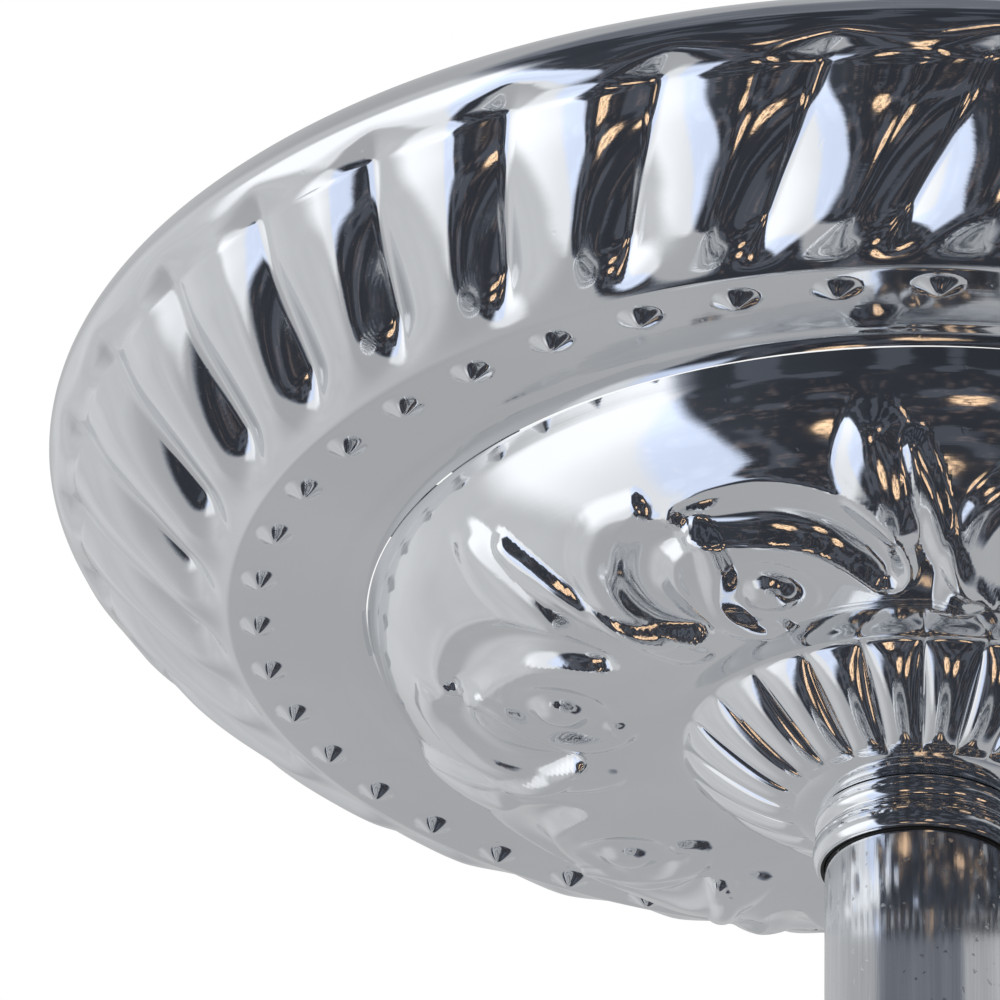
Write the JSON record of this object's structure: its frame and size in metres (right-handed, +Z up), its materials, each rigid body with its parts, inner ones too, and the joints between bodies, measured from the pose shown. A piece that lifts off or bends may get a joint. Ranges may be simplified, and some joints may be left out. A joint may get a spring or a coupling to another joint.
{
  "type": "sanctuary lamp",
  "caption": "Hanging electric sanctuary lamp: embossed chrome ceiling canopy, plain stem, embossed crown and bowl joined by rods, ruby glass and candle bulb.",
  "frame": {"origin": "centre of the ceiling plane, midway between the two strap slots, on the top face of the strap feet", "axes": "+Z up into the ceiling; the lamp hangs along -Z; +X along the ceiling strap"},
  "size_m": [0.1486, 0.1486, 0.453],
  "materials": {
    "chrome": "polished chrome plate on pressed steel",
    "zinc_steel": "bright zinc plate",
    "terminal_plastic": "moulded",
    "brass": "plain turned brass",
    "black_rubber": "moulded",
    "lead_sheath": "heat-resistant sheath",
    "holder_plastic": "moulded",
    "ivory_sleeve": "candle-coloured card tube",
    "ruby_glass": "blown ruby glass",
    "opal_glass": "opal",
    "filament": "glowing filament post"
  },
  "bodies": {
    "lamp": {"crown_pan": "chrome", "crown_ring": "chrome", "stem_tube": "chrome", "crown_bolt": "chrome", "cage_rod_1": "chrome", "cage_rod_2": "chrome", "cage_rod_3": "chrome", "gallery_ring": "chrome", "crown_plate": "chrome", "gallery_plate": "chrome", "ceiling_strap": "zinc_steel", "strap_nuts": "zinc_steel", "strap_lock_washer": "zinc_steel", "top_nipple": "zinc_steel", "rod_top_nuts": "zinc_steel", "rod_bottom_nuts": "zinc_steel", "gallery_nuts": "zinc_steel", "centre_tube": "zinc_steel", "stem_top_plug": "zinc_steel", "stem_bottom_plug": "zinc_steel", "terminal_block": "terminal_plastic", "terminal_screws": "brass", "earth_screw": "brass", "lampholder_shell": "brass", "glass_gasket": "black_rubber", "lead_grommet": "black_rubber", "supply_lead": "lead_sheath", "lampholder_body": "holder_plastic", "candle_sleeve": "ivory_sleeve"},
    "collar": {"canopy_ring": "chrome", "ring_seal": "black_rubber"},
    "canopy": {"canopy_pan": "chrome"},
    "glass": {"ruby_glass": "ruby_glass"},
    "bulb": {"bulb_cap": "brass", "bulb_glass": "opal_glass", "bulb_filament": "filament"},
    "bowl": {"bowl_pan": "chrome"},
    "finial": {"finial": "chrome"}
  },
  "joints": [
    {"name": "collar_slide", "type": "slide", "parent": "lamp", "child": "collar", "axis": [0, 0, -1], "range_m": [0, 0.12]},
    {"name": "canopy_slide", "type": "slide", "parent": "lamp", "child": "canopy", "axis": [0, 0, -1], "range_m": [0, 0.12]},
    {"name": "glass_lift", "type": "slide", "parent": "lamp", "child": "glass", "axis": [0, 0, 1], "range_m": [0, 0.026]},
    {"name": "bulb_turn", "type": "hinge", "parent": "lamp", "child": "bulb", "pos_m": [0, 0, -0.35], "axis": [0, 0, 1], "range_deg": [0, 1080]},
    {"name": "bowl_drop", "type": "slide", "parent": "lamp", "child": "bowl", "axis": [0, 0, -1], "range_m": [0, 0.045]},
    {"name": "finial_turn", "type": "hinge", "parent": "bowl", "child": "finial", "pos_m": [0, 0, -0.43], "axis": [0, 0, -1], "range_deg": [0, 2160]}
  ],
  "couplings": [
    {"joint": "canopy_slide", "follows": "collar_slide", "ratio": 1}
  ]
}
